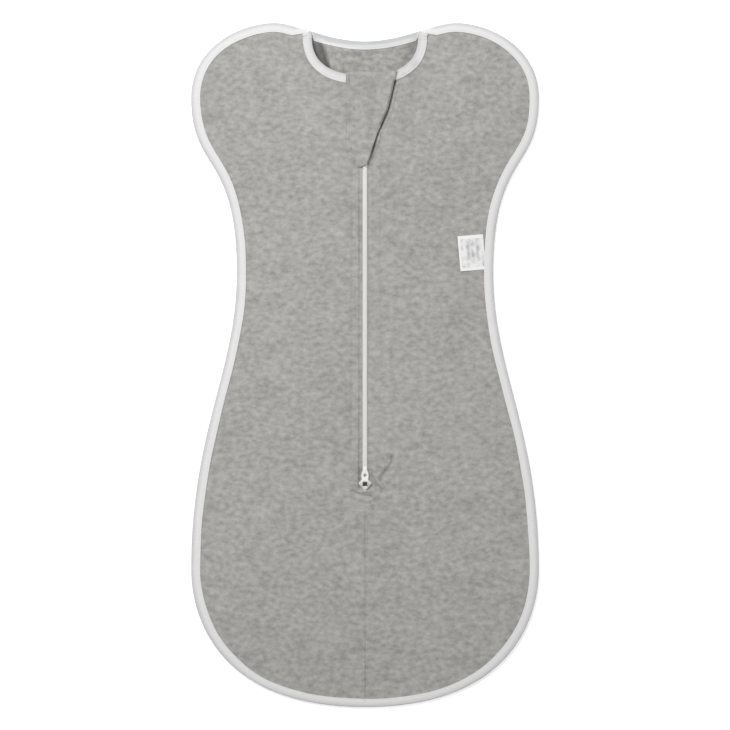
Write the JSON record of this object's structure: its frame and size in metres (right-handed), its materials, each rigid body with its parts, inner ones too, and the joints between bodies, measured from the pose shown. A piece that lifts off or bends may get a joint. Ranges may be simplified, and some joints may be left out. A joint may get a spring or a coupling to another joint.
{
  "type": "baby sleeping bag",
  "caption": "Sleeveless cocoon sleeping bag for a baby, lying flat: bound jersey layers, rounded arm wings, a neck opening and a two-way front zip under a cloth guard.",
  "frame": {"origin": "centre of the footprint, on the surface the back lies on", "axes": "+Y from the hem to the head, +Z out of the front, +X to the side of the care label"},
  "size_m": [0.305, 0.6, 0.0181],
  "materials": {
    "jersey": "matte",
    "binding": "matte",
    "zip_tape": "matte",
    "coil": "satin",
    "stop": "satin",
    "slider": "satin",
    "label": "satin"
  },
  "bodies": {
    "bag": {"back_panel": "jersey", "front_left_panel": "jersey", "front_right_panel": "jersey", "centre_seam": "jersey", "edge_binding": "binding", "back_neck_binding": "binding", "left_shoulder_binding": "binding", "right_shoulder_binding": "binding", "bottom_stop": "stop"},
    "left_lapel": {"left_lapel": "jersey", "left_neck_binding": "binding", "left_zip_tape": "zip_tape", "left_coil": "coil", "left_top_stop": "stop"},
    "right_lapel": {"right_lapel": "jersey", "right_neck_binding": "binding", "right_zip_tape": "zip_tape", "right_coil": "coil", "right_top_stop": "stop"},
    "upper_slider": {"upper_slider": "slider"},
    "upper_pull": {"upper_pull": "slider"},
    "lower_slider": {"lower_slider": "slider"},
    "lower_pull": {"lower_pull": "slider"},
    "zip_guard": {"zip_guard": "jersey"},
    "care_label": {"care_label": "label"}
  },
  "joints": [
    {"name": "left_lapel_fold", "type": "hinge", "parent": "bag", "child": "left_lapel", "pos_m": [-0.0056, -0.1102, 0.0144], "axis": [0.0762, -0.9971, 0], "range_deg": [0, 150], "deforming": ["left_zip_tape", "left_coil"]},
    {"name": "right_lapel_fold", "type": "hinge", "parent": "bag", "child": "right_lapel", "pos_m": [0.0056, -0.1102, 0.0144], "axis": [0.0762, 0.9971, 0], "range_deg": [0, 150], "deforming": ["right_zip_tape", "right_coil"]},
    {"name": "upper_slider_slide", "type": "slide", "parent": "bag", "child": "upper_slider", "axis": [0, -1, 0], "range_m": [0, 0.3101]},
    {"name": "lower_slider_slide", "type": "slide", "parent": "bag", "child": "lower_slider", "axis": [0, -1, 0], "range_m": [-0.31, 0]},
    {"name": "upper_pull_hinge", "type": "hinge", "parent": "upper_slider", "child": "upper_pull", "pos_m": [0, 0.241, 0.0155], "axis": [-1, 0, 0], "range_deg": [0, 180], "deforming": ["zip_guard"]},
    {"name": "lower_pull_hinge", "type": "hinge", "parent": "lower_slider", "child": "lower_pull", "pos_m": [0, -0.104, 0.0155], "axis": [1, 0, 0], "range_deg": [0, 180]},
    {"name": "zip_guard_hinge", "type": "hinge", "parent": "left_lapel", "child": "zip_guard", "pos_m": [-0.015, 0.2, 0.0141], "axis": [0, -1, 0], "range_deg": [0, 150]},
    {"name": "care_label_hinge", "type": "hinge", "parent": "bag", "child": "care_label", "pos_m": [0.1037, 0.099, 0.0066], "axis": [0, 1, 0], "range_deg": [0, 140]}
  ],
  "couplings": [
    {"joint": "right_lapel_fold", "follows": "left_lapel_fold", "ratio": 1},
    {"joint": "upper_slider_slide", "follows": "left_lapel_fold", "m_per_rad": 0.1184}
  ]
}
